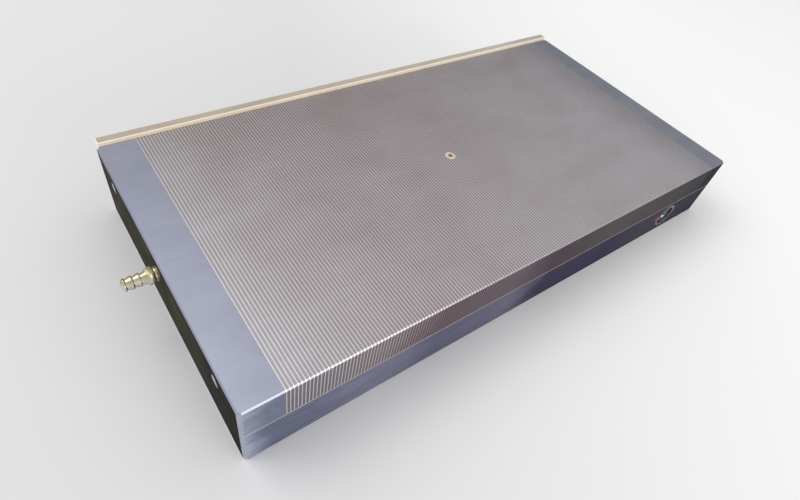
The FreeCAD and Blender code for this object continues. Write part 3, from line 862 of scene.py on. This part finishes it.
def spaced(low, high, count):
    """The middles of so many heads, evenly spaced between two outer edges."""
    first, last = low + HEAD_RADIUS, high - HEAD_RADIUS
    return [first + (last - first) * number / (count - 1) for number in range(count)]


print("screw helpers ready")

# %% Put the rail screws in
rail_screw_count = 3
low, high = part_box("rail_screws")
seat_y = high.y - HEAD_HEIGHT
places = [(x, seat_y, (low.z + high.z) / 2) for x in spaced(low.x, high.x, rail_screw_count)]
rail_screws = copies_at("rail_screw", seat_y - low.y, places, (math.pi / 2, 0.0, 0.0))
for screw in rail_screws:
    wear(screw, "screw_steel", "housing")
    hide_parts("rail_screws")
print("rail screws:", len(rail_screws), "of", len(rail_screws[0].data.polygons), "faces")

# %% Put the base screws in
base_screw_columns, base_screw_rows = 4, 2
low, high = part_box("base_screws")
seat_z = low.z + HEAD_HEIGHT
places = [(x, y, seat_z) for x in spaced(low.x, high.x, base_screw_columns)
          for y in spaced(low.y, high.y, base_screw_rows)]
base_screws = copies_at("base_screw", high.z - seat_z, places)
for screw in base_screws:
    wear(screw, "screw_steel", "housing")
    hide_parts("base_screws")
print("base screws:", len(base_screws), "of", len(base_screws[0].data.polygons), "faces")

# %% [markdown]
# ## Studio
# A wide pale floor, a soft box high at the back left and a long low one in front: the low
# one is what draws the bright line along the bevel of the face. The sky behind them is
# bright overhead and a darker neutral grey low down at the right, as in a real workshop,
# so that the ground face fades from pale to darker along its length. Behind the chuck the
# sky is a little darker too. The floor's paper is a light grey at the left and nearly white
# at the right.

# %% Floor
bpy.ops.mesh.primitive_plane_add(size=12.0, location=(0.0, 0.0, 0.0))
floor = bpy.context.object
floor.name = "studio_floor"
made, tree, shader = new_finish("floor_paper")
across = arithmetic(tree, "SUBTRACT", place_along(tree, "X"),
                    arithmetic(tree, "MULTIPLY", place_along(tree, "Y"), 0.45))
paper = colour_steps(tree, stretch(tree, across, -0.1, 0.4), [
    (0.0, linear(216, 216, 216)), (0.4, linear(231, 231, 230)), (0.86, linear(242, 242, 241)),
    (1.0, linear(243, 243, 242))])
finish_shader(tree, shader, Base_Color=paper, Roughness=0.9, Specular_IOR_Level=0.1)
floor.data.materials.append(made)
print("floor ready")

# %% Sky
world = bpy.data.worlds.new("studio_sky")
bpy.context.scene.world = world
world.use_nodes = True
sky = world.node_tree
direction = add_node(sky, "ShaderNodeTexCoord").outputs["Generated"]
parts = add_node(sky, "ShaderNodeSeparateXYZ", {"Vector": direction})
height = stretch(sky, parts.outputs["Z"], 0.2, 0.95)
sideways = arithmetic(sky, "ADD", arithmetic(sky, "MULTIPLY", parts.outputs["X"], 0.75),
                      arithmetic(sky, "MULTIPLY", parts.outputs["Y"], 0.35))
low_tone = blend(
    sky, stretch(sky, sideways, -0.2, 0.8), (0.9, 0.9, 0.9, 1.0), (0.56, 0.56, 0.57, 1.0))
sky_tone = blend(sky, height, low_tone, (0.99, 0.99, 1.0, 1.0))
behind = stretch(sky, parts.outputs["Y"], 0.4, 0.75, 0.0, 0.24)
sky_tone = blend(sky, behind, sky_tone, (0.12, 0.12, 0.12, 1.0))
backdrop = sky.nodes["Background"]
sky.links.new(sky_tone, backdrop.inputs["Color"])
backdrop.inputs["Strength"].default_value = 0.92
print("sky ready")


# %% Lamps
def soft_box(name, place, target, size, power):
    """A rectangular lamp that faces its target."""
    bpy.ops.object.light_add(type="AREA", location=place)
    lamp = bpy.context.object
    lamp.name = name
    lamp.data.shape = "RECTANGLE"
    lamp.data.size, lamp.data.size_y = size
    lamp.data.energy = power
    aim = Vector(target) - Vector(place)
    lamp.rotation_euler = aim.to_track_quat("-Z", "Y").to_euler()


soft_box("high_box", (-1.0, 0.9, 1.7), (0.0, 0.0, 0.0), (1.4, 1.4), 16.0)
soft_box("low_box", (0.25, -1.4, 0.5), (-0.05, -0.1, 0.05), (0.9, 0.3), 3.9)
print("lamps ready")

# %% [markdown]
# ## Camera
# A wide lens close to the left front corner, turned a little about its own axis. The wide
# lens is what makes the near corner so much larger than the far one.

# %% Camera
bpy.ops.object.camera_add(
    location=(-0.22890, -0.20274, 0.27710),
    rotation=[math.radians(turn) for turn in (41.927, -8.582, -35.364)])
camera = bpy.context.object
camera.data.lens = 24.295
camera.data.sensor_width = 36.0
camera.data.clip_start = 0.01
bpy.context.scene.camera = camera
bpy.context.scene.view_settings.view_transform = "Standard"
print("camera", camera.data.lens, "mm")
